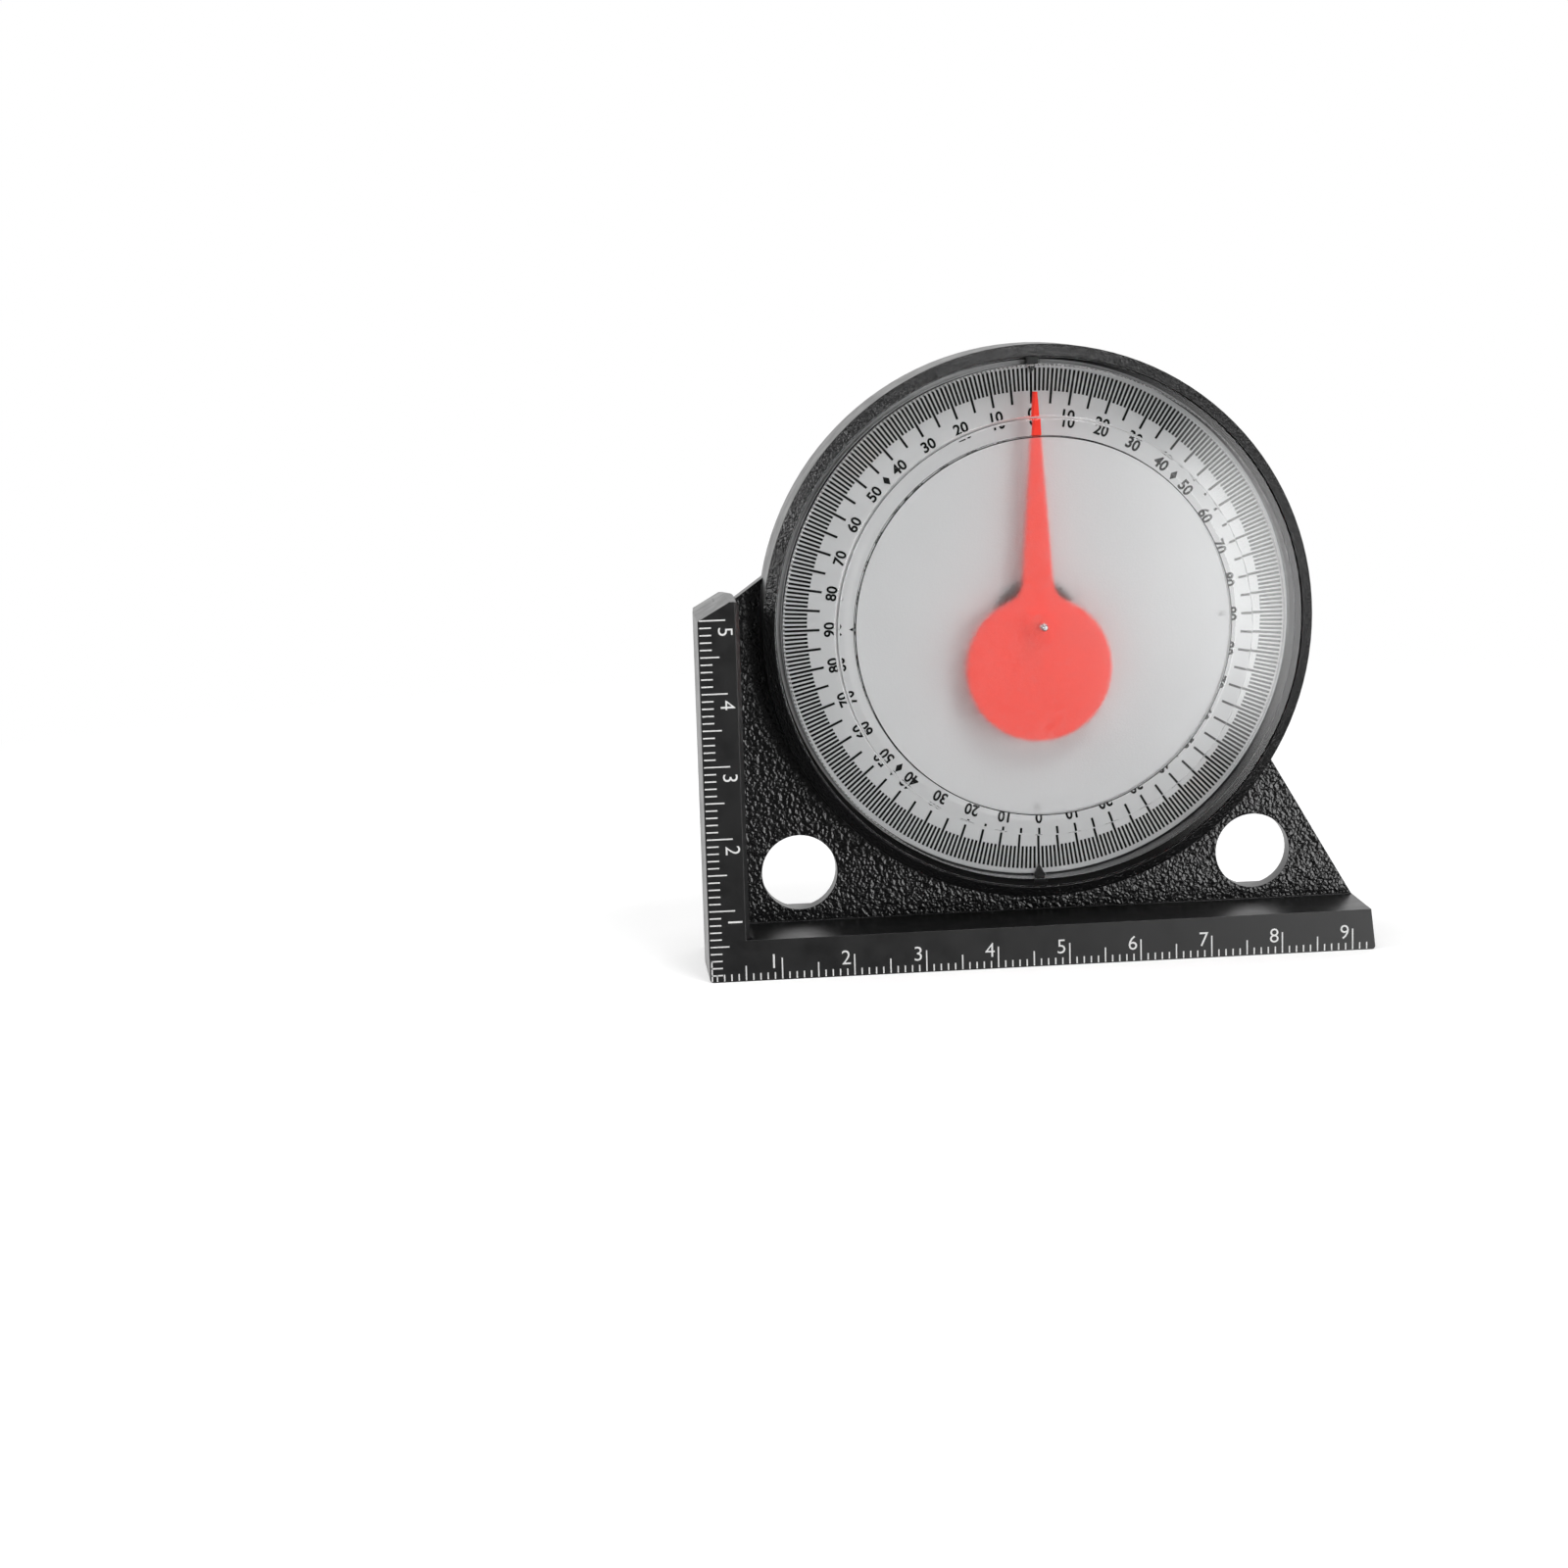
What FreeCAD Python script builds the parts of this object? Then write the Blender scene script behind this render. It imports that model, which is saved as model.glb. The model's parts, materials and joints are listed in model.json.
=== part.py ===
import FreeCAD, Part
import math
import os

# Dial inclinometer, millimetres. X runs along the base, Z is up and the dial faces -Y.
# The origin is the middle of the base face, on the plane where the two housing halves meet.

# Frame of two ruled beams
base_length = 93.3
base_height = 5.75
base_end_lean = 0.65        # the right end leans in by this much at its top
side_height = 52.4
side_width = 5.65
side_end_flat = 1.25        # level part of the side beam's top, next to the web
side_end_angle = 29.5       # degrees, slope of the rest of the top down to the outer side
beam_depth = 11.0           # each half, from the parting plane to its ruled or back face
face_draft = 1.0            # degrees, on the walls that look into the L
back_side_taper = 3.6       # degrees, on the outer side of the back half
back_top_taper = 5.2        # degrees, on the top of the side beam's back half
side_edge_chamfer = 0.55
base_corner_radius = 0.5
inner_corner_radius = 0.8   # where the two beams meet, and at the top of the side beam

# Web between the beams and the drum
web_skin = 1.3              # each half
web_left_angle = 35.2       # degrees, edge from the top of the side beam to the drum
web_right_angle = 120.2     # degrees, edge from the end of the base to the drum
finger_hole_radius = 5.3
right_hole_from_end = 15.1
left_hole_from_side = 13.65
finger_hole_height = 12.9

# Hollow cells and screw bosses inside the beams
beam_wall = 1.5
side_cell_count = 3         # hollow cells along the side beam, with ribs between
screw_shank_radius = 1.0
screw_head_radius = 1.6
screw_head_height = 1.3
screw_length = 8.0
screw_seat = 3.0            # from the parting plane to the underside of a head
screw_end_inset = 3.4       # from the ends of the base to the outer screws
screw_side_drop = 7.0       # from the top of the side beam to its screw
screw_thread_gap = 0.02
screw_hole_gap = 0.2
screw_well_gap = 0.2

# Bar magnets in the base
magnet_length = 25.0
magnet_depth = 8.0
magnet_thickness = 3.0
magnet_end_gap = 10.15      # from the ends of the base to the magnets
magnet_recess = 0.15
magnet_gap = 0.1
magnet_chamfer = 0.4

# Drum with the dial
drum_offset = 0.5           # axis, right of the middle of the base
drum_height = 47.15         # axis, above the base face
drum_radius = 38.1
rim_wall = 1.55
rim_outer_height = 7.2      # outer edge of the rim, in front of the parting plane
rim_bevel_rise = 1.1        # the bevelled rim rises to its inner edge
back_drum_inset = 3.1       # the back of the drum is this much smaller all round
back_drum_depth = 4.0
back_drum_round = 1.0
back_drum_wall = 1.5
dial_seat_width = 3.0       # ring under the edge of the dial
dial_rib_count = 4
dial_rib_width = 1.6
pan_edge_gap = 0.25         # between the dial's seat and the rim

# Dial plate and index wedges
dial_face = 2.6             # front of the dial, in front of the parting plane
dial_thickness = 0.9
dial_edge_gap = 0.15        # between the dial and the skirt of the lens
index_width = 1.6
index_point_reach = 1.55    # how far each point stands in from the lens's skirt
index_thickness = 0.6
index_gap = 0.1

# Central boss with its bearing
boss_radius = 5.7
boss_rise = 0.97            # in front of the dial
boss_gap = 0.1
bush_radius = 1.5
bush_length = 2.8
bush_lead = 0.2             # chamfer round the mouth of the bore
bush_seat_gap = 0.02

# Lens
lens_gap = 0.1
lens_skirt_wall = 1.05
lens_wall = 2.6
lens_slope = 14.4           # degrees, of the outer zone
plateau_radius = 28.6
plateau_rise = 2.45
plateau_draft = 4.5         # degrees, on the step up to the plateau
lip_width = 1.15            # flat lip round the sloped zone
lip_step = 0.35             # from the lip up to the sloped zone
window_radius = 25.8        # recess behind the window
window_wall = 2.45
skirt_notch_gap = 0.2
socket_depth = 0.8
socket_gap = 0.04

# Pointer
needle_length = 31.4
needle_tip_width = 0.5
needle_root_width = 4.0
needle_root_height = 6.4
needle_thickness = 1.2
pointer_face = 6.2          # front of the pointer, in front of the parting plane
pointer_boss_gap = 0.4      # between the boss and the back of the pointer
pointer_disc_radius = 10.0
pointer_disc_drop = 6.15
pointer_fillet = 3.2
hub_radius = 1.7
hub_rise = 1.6
weight_radius = 6.0
weight_thickness = 1.3
weight_drop = 8.6
weight_gap = 0.02

# Pivot pin
pin_radius = 0.5
pin_tip_radius = 0.33
pin_shoulder_gap = 0.15     # between the pin's shoulder and the window
pin_fit = 0.03
pin_end_gap = 0.12

left_x = -base_length / 2.0
right_x = base_length / 2.0
rim_bore_radius = drum_radius - rim_wall
back_drum_radius = drum_radius - back_drum_inset
dial_back = dial_face - dial_thickness
boss_face = dial_face + boss_rise
pointer_back = boss_face + pointer_boss_gap
lens_edge_height = rim_outer_height + rim_bevel_rise
lens_radius = rim_bore_radius - lens_gap
skirt_bore_radius = lens_radius - lens_skirt_wall
index_point_radius = skirt_bore_radius - index_point_reach
lip_radius = lens_radius - lip_width
slope_drop = math.tan(math.radians(lens_slope))
step_foot_height = lens_edge_height + (lens_radius - plateau_radius) * slope_drop
lens_top = step_foot_height + plateau_rise
window_height = lens_top - window_wall
pin_front = window_height + socket_depth - pin_end_gap
bush_back = boss_face - bush_length
pin_back = bush_back + pin_end_gap
right_hole = (right_x - right_hole_from_end, finger_hole_height)
left_hole = (left_x + left_hole_from_side, finger_hole_height)


def flat(points):
    """A face in the XZ plane from (x, z) points."""
    corners = [FreeCAD.Vector(x, 0.0, z) for x, z in points]
    return Part.Face(Part.makePolygon(corners + corners[:1]))


def slab(points, front, back):
    """A flat outline with thickness, from y = front to y = back."""
    body = flat(points).extrude(FreeCAD.Vector(0.0, back - front, 0.0))
    body.translate(FreeCAD.Vector(0.0, front, 0.0))
    return body


def rod(x, z, radius, front, back):
    """A cylinder along Y."""
    start = FreeCAD.Vector(x, front, z)
    return Part.makeCylinder(radius, back - front, start, FreeCAD.Vector(0.0, 1.0, 0.0))


def drum_rod(radius, front, back):
    return rod(drum_offset, drum_height, radius, front, back)


def turned(profile):
    """A body of revolution about the drum's axis, from (radius, height in front) points."""
    corners = [FreeCAD.Vector(drum_offset + r, -h, drum_height) for r, h in profile]
    face = Part.Face(Part.makePolygon(corners + corners[:1]))
    axis_point = FreeCAD.Vector(drum_offset, 0.0, drum_height)
    return face.revolve(axis_point, FreeCAD.Vector(0.0, 1.0, 0.0), 360.0)


def box(x_range, y_range, z_range):
    size = [high - low for low, high in (x_range, y_range, z_range)]
    corner = FreeCAD.Vector(x_range[0], y_range[0], z_range[0])
    return Part.makeBox(size[0], size[1], size[2], corner)


def beam_outline(grow, side_inset, top_inset):
    """The L of the two beams; grow widens the walls that look into it."""
    outer_x = left_x + side_inset
    inner_x = left_x + side_width + grow
    shelf = base_height + grow
    top = side_height - top_inset
    slope_start = left_x + side_width - side_end_flat
    slope_drop_here = (slope_start - outer_x) * math.tan(math.radians(side_end_angle))
    return [
        (outer_x, 0.0),
        (right_x, 0.0),
        (right_x - base_end_lean * shelf / base_height, shelf),
        (inner_x, shelf),
        (inner_x, top),
        (slope_start, top),
        (outer_x, top - slope_drop_here),
    ]


def tapered(sections):
    """A solid with flat sides between two (y, outline) sections of as many points."""
    (start_y, start_outline), (end_y, end_outline) = sorted(sections)
    starts = [FreeCAD.Vector(x, start_y, z) for x, z in start_outline]
    ends = [FreeCAD.Vector(x, end_y, z) for x, z in end_outline]
    faces = [Part.Face(Part.makePolygon(ring + ring[:1])) for ring in (starts, ends)]
    for number in range(len(starts)):
        after = (number + 1) % len(starts)
        side = [starts[number], starts[after], ends[after], ends[number], starts[number]]
        faces.append(Part.Face(Part.makePolygon(side)))
    solid = Part.Solid(Part.Shell(faces))
    solid.fix(0.001, 0.001, 0.001)
    return solid


def beams(direction, side_taper, top_taper):
    """Both beams of one half: direction -1 is the front half, +1 the back half."""
    grow = beam_depth * math.tan(math.radians(face_draft))
    side_inset = beam_depth * math.tan(math.radians(side_taper))
    top_inset = beam_depth * math.tan(math.radians(top_taper))
    parting = beam_outline(grow, 0.0, 0.0)
    face = beam_outline(0.0, side_inset, top_inset)
    body = tapered([(0.0, parting), (direction * beam_depth, face)])
    corners = (parting[0], parting[1])
    body = body.makeFillet(base_corner_radius, edges_from(body, corners))
    corners = (parting[3], parting[4])
    return body.makeFillet(inner_corner_radius, edges_from(body, corners))


def edges_from(body, corners):
    """The edges that leave the given (x, z) corners of the parting plane."""
    found = []
    for edge in body.Edges:
        ends = sorted((vertex.Point for vertex in edge.Vertexes), key=lambda end: abs(end.y))
        if len(ends) < 2 or abs(ends[0].y) > 0.001 or abs(ends[1].y) < 0.001:
            continue
        if any(math.hypot(ends[0].x - x, ends[0].z - z) < 0.001 for x, z in corners):
            found.append(edge)
    return found


def drum_crossing(start, angle):
    """Where a line from start at an angle first meets the drum's circle."""
    along = (math.cos(math.radians(angle)), math.sin(math.radians(angle)))
    to_axis = (drum_offset - start[0], drum_height - start[1])
    reach = to_axis[0] * along[0] + to_axis[1] * along[1]
    aside = to_axis[0] * along[1] - to_axis[1] * along[0]
    travel = reach - math.sqrt(drum_radius ** 2 - aside ** 2)
    return (start[0] + travel * along[0], start[1] + travel * along[1])


def web(front, back):
    """One skin of the web: from the beams up to the drum, with both finger holes."""
    left_start = (left_x + side_width, side_height - inner_corner_radius)
    right_start = (right_x - base_end_lean, base_height)
    middle = side_width / 2.0
    outline = [
        (left_x + middle, middle),
        (right_start[0], middle),
        right_start,
        drum_crossing(right_start, web_right_angle),
        (drum_offset, drum_height),
        drum_crossing(left_start, web_left_angle),
        left_start,
        (left_x + middle, left_start[1]),
    ]
    skin = slab(outline, front, back).fuse(drum_rod(drum_radius, front, back))
    for x, z in (left_hole, right_hole):
        skin = skin.cut(rod(x, z, finger_hole_radius, front, back))
    return skin


def screw_places():
    beam_middle = base_height / 2.0
    side_inset = beam_depth * math.tan(math.radians(back_side_taper))
    return [
        (left_x + screw_end_inset, beam_middle),
        (0.0, beam_middle),
        (right_x - screw_end_inset, beam_middle),
        (left_x + (side_width + side_inset) / 2.0, side_height - screw_side_drop),
    ]


def magnet_middles():
    from_end = magnet_end_gap + magnet_length / 2.0
    return [left_x + from_end, right_x - from_end]


def beam_cells(front, back):
    """Hollow cells between the screw bosses, open at the parting plane."""
    boss_half = screw_head_radius + screw_well_gap + beam_wall
    magnet_half = magnet_length / 2.0 + magnet_gap + beam_wall
    cells = []
    for side in (-1.0, 1.0):
        ends = sorted((side * boss_half, side * (magnet_middles()[1] - magnet_half)))
        cells.append(box(ends, (front, back), (beam_wall, base_height - beam_wall)))
    low = base_height + beam_wall
    high = side_height - screw_side_drop - boss_half
    x_range = (left_x + beam_wall, left_x + side_width - beam_wall)
    pitch = (high - low + beam_wall) / side_cell_count
    for number in range(side_cell_count):
        foot = low + number * pitch
        cells.append(box(x_range, (front, back), (foot, foot + pitch - beam_wall)))
    return cells


def magnet_pockets():
    pockets = []
    half = magnet_length / 2.0 + magnet_gap
    depth = magnet_depth / 2.0 + magnet_gap
    for x in magnet_middles():
        z_range = (-1.0, magnet_recess + magnet_thickness)
        pockets.append(box((x - half, x + half), (-depth, depth), z_range))
    return pockets


def index_wedges():
    """Two wedges that stand in from the rim over the edge of the dial."""
    wedges = []
    half = index_width / 2.0
    low = dial_face + index_gap
    root = rim_bore_radius + rim_wall / 2.0
    for up in (-1.0, 1.0):
        outline = [
            (drum_offset, drum_height + up * index_point_radius),
            (drum_offset - half, drum_height + up * skirt_bore_radius),
            (drum_offset - half, drum_height + up * root),
            (drum_offset + half, drum_height + up * root),
            (drum_offset + half, drum_height + up * skirt_bore_radius),
        ]
        wedges.append(slab(outline, -low - index_thickness, -low))
    return wedges


def front_housing():
    """Front half: beams, web, rim and index wedges in one moulding."""
    body = beams(-1.0, 0.0, 0.0)
    body = body.fuse(web(-web_skin, 0.0))
    chamfer_x = left_x + side_width - side_edge_chamfer
    edge = [
        (chamfer_x, -beam_depth - 1.0),
        (chamfer_x, -beam_depth),
        (chamfer_x + side_edge_chamfer * 2.0, -beam_depth + side_edge_chamfer * 2.0),
        (chamfer_x + side_edge_chamfer * 2.0, -beam_depth - 1.0),
    ]
    corners = [FreeCAD.Vector(x, y, base_height) for x, y in edge]
    wedge = Part.Face(Part.makePolygon(corners + corners[:1]))
    body = body.cut(wedge.extrude(FreeCAD.Vector(0.0, 0.0, side_height)))
    rim = turned([
        (rim_bore_radius - rim_wall, 0.0),
        (drum_radius, 0.0),
        (drum_radius, rim_outer_height),
        (rim_bore_radius, lens_edge_height),
        (rim_bore_radius - rim_wall, lens_edge_height),
    ])
    body = body.fuse(rim)
    body = body.cut(drum_rod(rim_bore_radius, -lens_edge_height - 1.0, 1.0))
    for wedge in index_wedges():
        body = body.fuse(wedge)
    for pocket in magnet_pockets() + beam_cells(-beam_depth + beam_wall, 1.0):
        body = body.cut(pocket)
    pilot = screw_length - screw_seat + screw_shank_radius
    for x, z in screw_places():
        body = body.cut(rod(x, z, screw_shank_radius + screw_thread_gap, -pilot, 1.0))
    return body.removeSplitter()


def dial_support():
    """Back of the drum: a ribbed pan with the dial's seat and the central boss."""
    seat_radius = rim_bore_radius - pan_edge_gap
    floor = back_drum_wall - back_drum_depth
    pan = turned([
        (0.0, boss_face),
        (boss_radius, boss_face),
        (boss_radius, floor),
        (seat_radius - dial_seat_width, floor),
        (seat_radius - dial_seat_width, dial_back),
        (seat_radius, dial_back),
        (seat_radius, 0.0),
        (seat_radius, -web_skin),
        (back_drum_radius, -web_skin),
        (back_drum_radius, -back_drum_depth + back_drum_round),
        (back_drum_radius - back_drum_round, -back_drum_depth),
        (0.0, -back_drum_depth),
    ])
    for number in range(dial_rib_count):
        rib = box(
            (drum_offset + boss_radius / 2.0, drum_offset + seat_radius - dial_seat_width / 2.0),
            (-dial_back, -floor),
            (drum_height - dial_rib_width / 2.0, drum_height + dial_rib_width / 2.0),
        )
        turn = 360.0 / dial_rib_count * (number + 0.5)
        axis_point = FreeCAD.Vector(drum_offset, 0.0, drum_height)
        rib.rotate(axis_point, FreeCAD.Vector(0.0, 1.0, 0.0), turn)
        pan = pan.fuse(rib)
    return pan


def rear_housing():
    """Back half: beams, web, drum pan and screw wells in one moulding."""
    body = beams(1.0, back_side_taper, back_top_taper)
    body = body.fuse(web(0.0, web_skin))
    body = body.cut(drum_rod(back_drum_radius - back_drum_wall, 0.0, web_skin))
    bush_seat = drum_rod(bush_radius + bush_seat_gap, -boss_face - 1.0, -bush_back)
    body = body.fuse(dial_support()).cut(bush_seat)
    for pocket in magnet_pockets() + beam_cells(-1.0, beam_depth - beam_wall):
        body = body.cut(pocket)
    for x, z in screw_places():
        body = body.cut(rod(x, z, screw_shank_radius + screw_hole_gap, -1.0, beam_depth))
        well = screw_head_radius + screw_well_gap
        body = body.cut(rod(x, z, well, screw_seat, beam_depth + 1.0))
    return body.removeSplitter()


def dial_plate():
    """A thin disc that drops over the boss."""
    disc = drum_rod(skirt_bore_radius - dial_edge_gap, -dial_face, -dial_back)
    return disc.cut(drum_rod(boss_radius + boss_gap, -dial_face, -dial_back))


def lens():
    """Clear cover: skirt, flat lip, sloped zone, and a plateau with a recess behind its window."""
    step_top_radius = plateau_radius - plateau_rise * math.tan(math.radians(plateau_draft))
    slope_foot_height = lens_edge_height + lip_width * slope_drop
    inner_corner_height = lens_edge_height + lens_skirt_wall * slope_drop - lens_wall
    recess_foot_height = lens_edge_height + (lens_radius - window_radius) * slope_drop - lens_wall
    body = turned([
        (0.0, lens_top),
        (step_top_radius, lens_top),
        (plateau_radius, step_foot_height),
        (lip_radius, slope_foot_height),
        (lip_radius, slope_foot_height - lip_step),
        (lens_radius, slope_foot_height - lip_step),
        (lens_radius, dial_back),
        (skirt_bore_radius, dial_back),
        (skirt_bore_radius, inner_corner_height),
        (window_radius, recess_foot_height),
        (window_radius, window_height),
        (0.0, window_height),
    ])
    socket = pin_tip_radius + socket_gap
    body = body.cut(drum_rod(socket, -window_height - socket_depth, -window_height + 1.0))
    half = index_width / 2.0 + skirt_notch_gap
    notch_top = dial_face + index_gap + index_thickness + skirt_notch_gap
    for up in (-1.0, 1.0):
        heights = sorted((drum_height + up * index_point_radius, drum_height + up * drum_radius))
        notch = box((drum_offset - half, drum_offset + half), (-notch_top, 0.0), heights)
        body = body.cut(notch)
    return body


def pointer():
    """Needle, disc and hub in one moulding, with a pocket for the weight in its back."""
    half_tip = needle_tip_width / 2.0
    half_root = needle_root_width / 2.0
    widening = (half_root - half_tip) / (needle_length - needle_root_height)
    half_foot = half_tip + widening * needle_length
    outline = [
        (drum_offset - half_tip, drum_height + needle_length),
        (drum_offset + half_tip, drum_height + needle_length),
        (drum_offset + half_foot, drum_height),
        (drum_offset - half_foot, drum_height),
    ]
    disc_z = drum_height - pointer_disc_drop
    needle = slab(outline, -pointer_face, -pointer_face + needle_thickness)
    plate = rod(drum_offset, disc_z, pointer_disc_radius, -pointer_face, -pointer_face + needle_thickness)
    blade = needle.fuse(plate).removeSplitter()
    blade = blade.makeFillet(pointer_fillet, needle_roots(blade))
    disc = rod(drum_offset, disc_z, pointer_disc_radius, -pointer_face, -pointer_back)
    hub = drum_rod(hub_radius, -pointer_face - hub_rise, -pointer_back)
    body = blade.fuse(disc).fuse(hub)
    weight_z = drum_height - weight_drop
    pocket_front = -pointer_back - weight_thickness
    pocket = rod(drum_offset, weight_z, weight_radius + weight_gap, pocket_front, -pointer_back + 1.0)
    body = body.cut(pocket)
    body = body.cut(drum_rod(pin_radius, -lens_top, 0.0))
    return body.removeSplitter()


def needle_roots(blade):
    """The two edges along Y where the needle meets the disc."""
    found = []
    for edge in blade.Edges:
        ends = [vertex.Point for vertex in edge.Vertexes]
        if len(ends) != 2 or abs(ends[0].y - ends[1].y) < needle_thickness / 2.0:
            continue
        above = ends[0].z - drum_height
        if 0.0 < above < needle_root_height and abs(ends[0].x - drum_offset) > needle_tip_width:
            found.append(edge)
    return found


def counterweight():
    weight_z = drum_height - weight_drop
    return rod(drum_offset, weight_z, weight_radius, -pointer_back - weight_thickness, -pointer_back)


def pivot_pin():
    """Turned pin with a fine front tip."""
    shoulder = window_height - pin_shoulder_gap
    return turned([
        (0.0, pin_front),
        (pin_tip_radius, pin_front),
        (pin_tip_radius, shoulder),
        (pin_radius, shoulder - (pin_radius - pin_tip_radius)),
        (pin_radius, pin_back),
        (0.0, pin_back),
    ])


def rear_bearing():
    """Bush pressed into the boss, flush with its face and chamfered to lead the pin in."""
    bore = pin_radius + pin_fit
    return turned([
        (bore + bush_lead, boss_face),
        (bush_radius, boss_face),
        (bush_radius, bush_back),
        (bore, bush_back),
        (bore, boss_face - bush_lead),
    ])


def base_magnet(x):
    half = magnet_length / 2.0
    depth = magnet_depth / 2.0
    z_range = (magnet_recess, magnet_recess + magnet_thickness)
    bar = box((x - half, x + half), (-depth, depth), z_range)
    return bar.makeChamfer(magnet_chamfer, bar.Edges)


def case_screws():
    """Four pan-head screws, as a group of separate solids."""
    screws = []
    for x, z in screw_places():
        head = rod(x, z, screw_head_radius, screw_seat, screw_seat + screw_head_height)
        shank = rod(x, z, screw_shank_radius, screw_seat - screw_length, screw_seat)
        screws.append(head.fuse(shank))
    return Part.makeCompound(screws)


def main():
    left_magnet, right_magnet = magnet_middles()
    nodes = {
        "front_housing": front_housing(),
        "rear_housing": rear_housing(),
        "dial_plate": dial_plate(),
        "lens": lens(),
        "pointer": pointer(),
        "counterweight": counterweight(),
        "pivot_pin": pivot_pin(),
        "rear_bearing": rear_bearing(),
        "base_magnet_left": base_magnet(left_magnet),
        "base_magnet_right": base_magnet(right_magnet),
        "case_screws": case_screws(),
    }
    os.makedirs("parts", exist_ok=True)
    for name, shape in nodes.items():
        shape.exportStep("parts/" + name + ".step")
        box_size = shape.BoundBox
        print(name, len(shape.Solids), "solids", shape.isValid(), round(shape.Volume, 2))
        print("   x", round(box_size.XMin, 2), round(box_size.XMax, 2), end="")
        print("  y", round(box_size.YMin, 2), round(box_size.YMax, 2), end="")
        print("  z", round(box_size.ZMin, 2), round(box_size.ZMax, 2))


main()
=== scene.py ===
import bmesh
import bpy
import json
import math
from mathutils import Euler, Matrix, Vector


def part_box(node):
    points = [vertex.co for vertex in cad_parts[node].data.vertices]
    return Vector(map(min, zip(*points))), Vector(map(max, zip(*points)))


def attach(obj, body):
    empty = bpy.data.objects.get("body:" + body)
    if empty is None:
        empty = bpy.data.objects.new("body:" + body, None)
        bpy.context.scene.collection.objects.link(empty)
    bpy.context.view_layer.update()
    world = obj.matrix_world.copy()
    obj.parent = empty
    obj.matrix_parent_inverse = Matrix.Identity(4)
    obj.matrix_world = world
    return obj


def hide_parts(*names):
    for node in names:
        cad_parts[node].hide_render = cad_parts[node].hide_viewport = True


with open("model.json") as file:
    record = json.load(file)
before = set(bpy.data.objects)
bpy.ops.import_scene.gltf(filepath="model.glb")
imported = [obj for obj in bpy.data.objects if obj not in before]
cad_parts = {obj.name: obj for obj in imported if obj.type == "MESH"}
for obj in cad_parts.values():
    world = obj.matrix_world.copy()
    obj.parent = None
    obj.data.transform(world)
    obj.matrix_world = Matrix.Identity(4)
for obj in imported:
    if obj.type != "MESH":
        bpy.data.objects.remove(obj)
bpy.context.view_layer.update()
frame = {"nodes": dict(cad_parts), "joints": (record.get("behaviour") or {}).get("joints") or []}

mm = 0.001
pivot = Vector(frame["joints"][0]["pos_m"])          # the drum's axis
frontLow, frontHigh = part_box("front_housing")
print("frame loaded:", len(frame["nodes"]), "nodes")


cameraView = {
    "place": (-0.06957, -0.40769, 0.09767),
    "turn": (79.969, 1.760, -5.198),      # degrees about X, Y, Z
    "lens": 68.277,
    "sensor": 36.0,
}
lampSets = {
    "frontLamp": {"from": (0.30, -0.60, 0.85), "size": (0.45, 0.35), "power": 4.2},
    "topLamp": {"from": (-0.10, -0.10, 0.95), "size": (0.40, 0.30), "power": 2.2},
    "leftLamp": {"from": (-0.90, -0.15, 0.35), "size": (0.30, 0.45), "power": 3.4},
}
# soft boxes painted on the sky: direction, brightness, and the angles where the fade begins and ends
softBoxes = {
    "rightBox": {"toward": (0.62, -0.78, -0.05), "glow": 4.8, "full": 10.0, "gone": 26.0},
    "frontBox": {"toward": (0.42, -0.90, -0.08), "glow": 2.6, "full": 6.0, "gone": 15.5},
    "sideBox": {"toward": (0.97, -0.20, 0.10), "glow": 0.9, "full": 10.0, "gone": 35.0},
    "leftBox": {"toward": (-0.60, -0.50, 0.62), "glow": 0.25, "full": 8.0, "gone": 42.0},
    "edgeBox": {"toward": (-0.95, 0.15, 0.25), "glow": 2.0, "full": 8.0, "gone": 32.0},
    "backdrop": {"toward": (0.0, 0.99, 0.14), "glow": 1.0, "full": 40.0, "gone": 70.0},
}
studio = {
    "lampTarget": (0.0, 0.0, 0.045),
    "skyGlow": 0.10,
    "floorHalf": 3.0,
    "floorGrain": 60.0,
    "floorTone": (0.80, 0.82),
    "floorLift": 0.30,
    "fadeStart": 0.07,      # m from the middle, where the floor begins to turn plain white
    "fadeEnd": 0.30,
}


def addCamera():
    data = bpy.data.cameras.new("frontView")
    data.lens = cameraView["lens"]
    data.sensor_width = cameraView["sensor"]
    data.clip_start = 0.01
    data.clip_end = 20.0
    camera = bpy.data.objects.new("frontView", data)
    camera.location = cameraView["place"]
    camera.rotation_euler = Euler([math.radians(angle) for angle in cameraView["turn"]], "XYZ")
    bpy.context.scene.collection.objects.link(camera)
    bpy.context.scene.camera = camera


def addLamps():
    target = Vector(studio["lampTarget"])
    for name, values in lampSets.items():
        data = bpy.data.lights.new(name, "AREA")
        data.shape = "RECTANGLE"
        data.size, data.size_y = values["size"]
        data.energy = values["power"]
        lamp = bpy.data.objects.new(name, data)
        lamp.location = values["from"]
        lamp.rotation_euler = (target - lamp.location).to_track_quat("-Z", "Y").to_euler()
        bpy.context.scene.collection.objects.link(lamp)


def freshMaterial(name):
    material = bpy.data.materials.new(name)
    material.use_nodes = True
    tree = material.node_tree
    tree.nodes.clear()
    return material, tree


def addNode(tree, kind, values=None, settings=None):
    node = tree.nodes.new(kind)
    for key, value in (settings or {}).items():
        setattr(node, key, value)
    for key, value in (values or {}).items():
        if isinstance(value, bpy.types.NodeSocket):
            tree.links.new(value, node.inputs[key])
        else:
            node.inputs[key].default_value = value
    return node


def calc(tree, operation, first, second=0.0, third=0.0):
    node = addNode(tree, "ShaderNodeMath", {0: first, 1: second, 2: third}, {"operation": operation})
    return node.outputs[0]


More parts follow.
